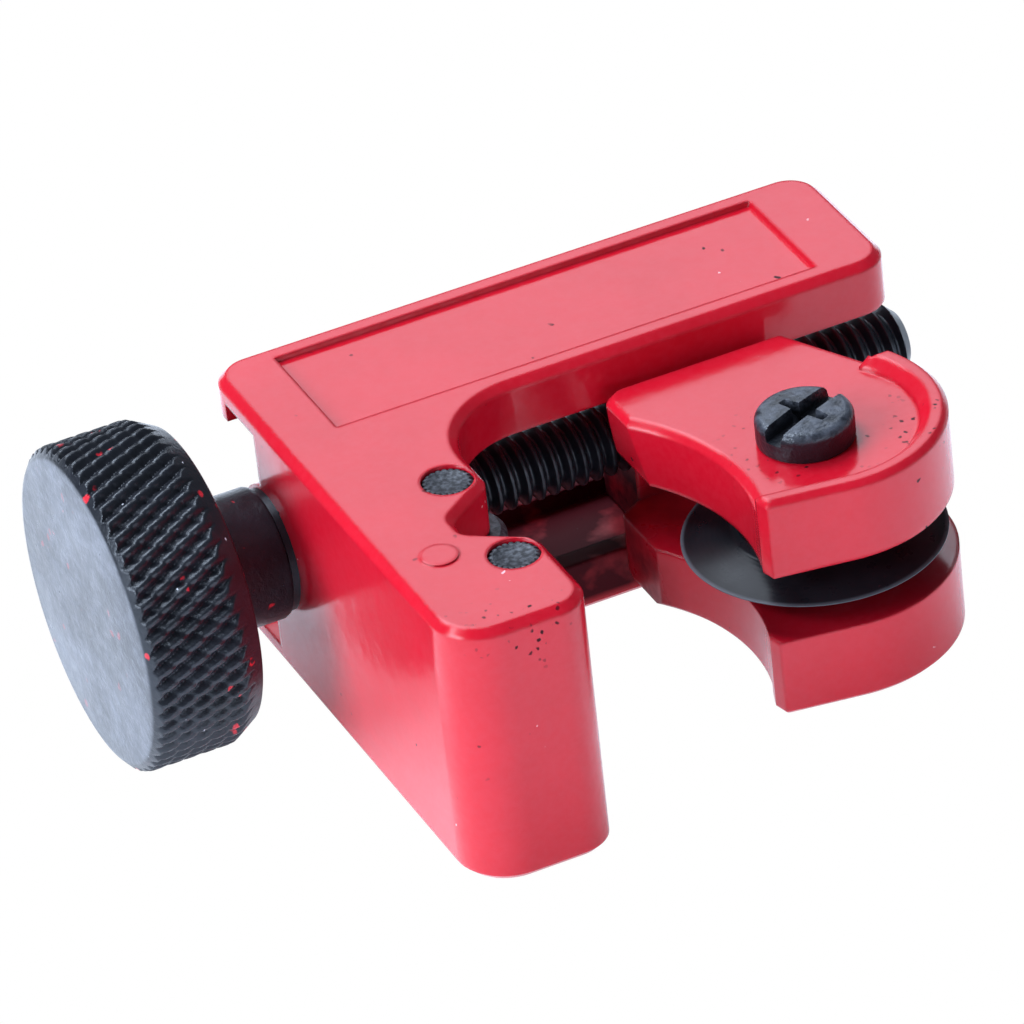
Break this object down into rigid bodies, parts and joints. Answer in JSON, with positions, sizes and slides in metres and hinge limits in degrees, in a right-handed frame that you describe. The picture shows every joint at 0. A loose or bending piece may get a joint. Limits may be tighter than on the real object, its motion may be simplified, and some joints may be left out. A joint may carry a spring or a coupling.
{
  "type": "tube cutter",
  "caption": "Small hand tube cutter: red cast frame with two rollers, knurled knob and lead screw, sliding carriage with a cutting wheel on a screw axle.",
  "frame": {"origin": "middle of the whole tool's box, at its lowest level, which is the lowest point of the knob's rim", "axes": "+X along the lead screw from the knob to its free end, +Y across the frame from the rollers' arm to the bars' open side, +Z along the tube to be cut, up through the axle screw's head"},
  "size_m": [0.072, 0.05, 0.027],
  "materials": {
    "red_paint": "glossy enamel over a die casting",
    "black_steel": "satin black oxide",
    "bright_steel": "satin",
    "roller_steel": "smooth turned",
    "wheel_steel": "polished hardened steel"
  },
  "bodies": {
    "body": {"frame": "red_paint", "inner_roller_pin": "bright_steel", "outer_roller_pin": "bright_steel", "thrust_washer": "black_steel"},
    "screw": {"lead_screw": "black_steel", "knob": "black_steel", "retaining_ring": "bright_steel"},
    "slider": {"carriage": "red_paint", "axle_screw": "black_steel"},
    "wheel": {"cutting_wheel": "wheel_steel"},
    "roller_in": {"inner_roller": "roller_steel"},
    "roller_out": {"outer_roller": "roller_steel"}
  },
  "joints": [
    {"name": "knob_turn", "type": "hinge", "parent": "body", "child": "screw", "pos_m": [-0.01978, 0.0115, 0.0135], "axis": [1, 0, 0], "range_deg": [-2551.1, 3118]},
    {"name": "carriage_slide", "type": "slide", "parent": "body", "child": "slider", "axis": [1, 0, 0], "range_m": [-0.011, 0.009]},
    {"name": "wheel_spin", "type": "hinge", "parent": "slider", "child": "wheel", "pos_m": [0.01742, -0.0101, 0.0135], "axis": [0, 0, 1], "continuous": true},
    {"name": "inner_roller_spin", "type": "hinge", "parent": "body", "child": "roller_in", "pos_m": [-0.01047, -0.004, 0.0135], "axis": [0, 0, 1], "continuous": true},
    {"name": "outer_roller_spin", "type": "hinge", "parent": "body", "child": "roller_out", "pos_m": [-0.01047, -0.0162, 0.0135], "axis": [0, 0, 1], "continuous": true}
  ],
  "couplings": [
    {"joint": "carriage_slide", "follows": "knob_turn", "m_per_rad": -0.00020213}
  ]
}
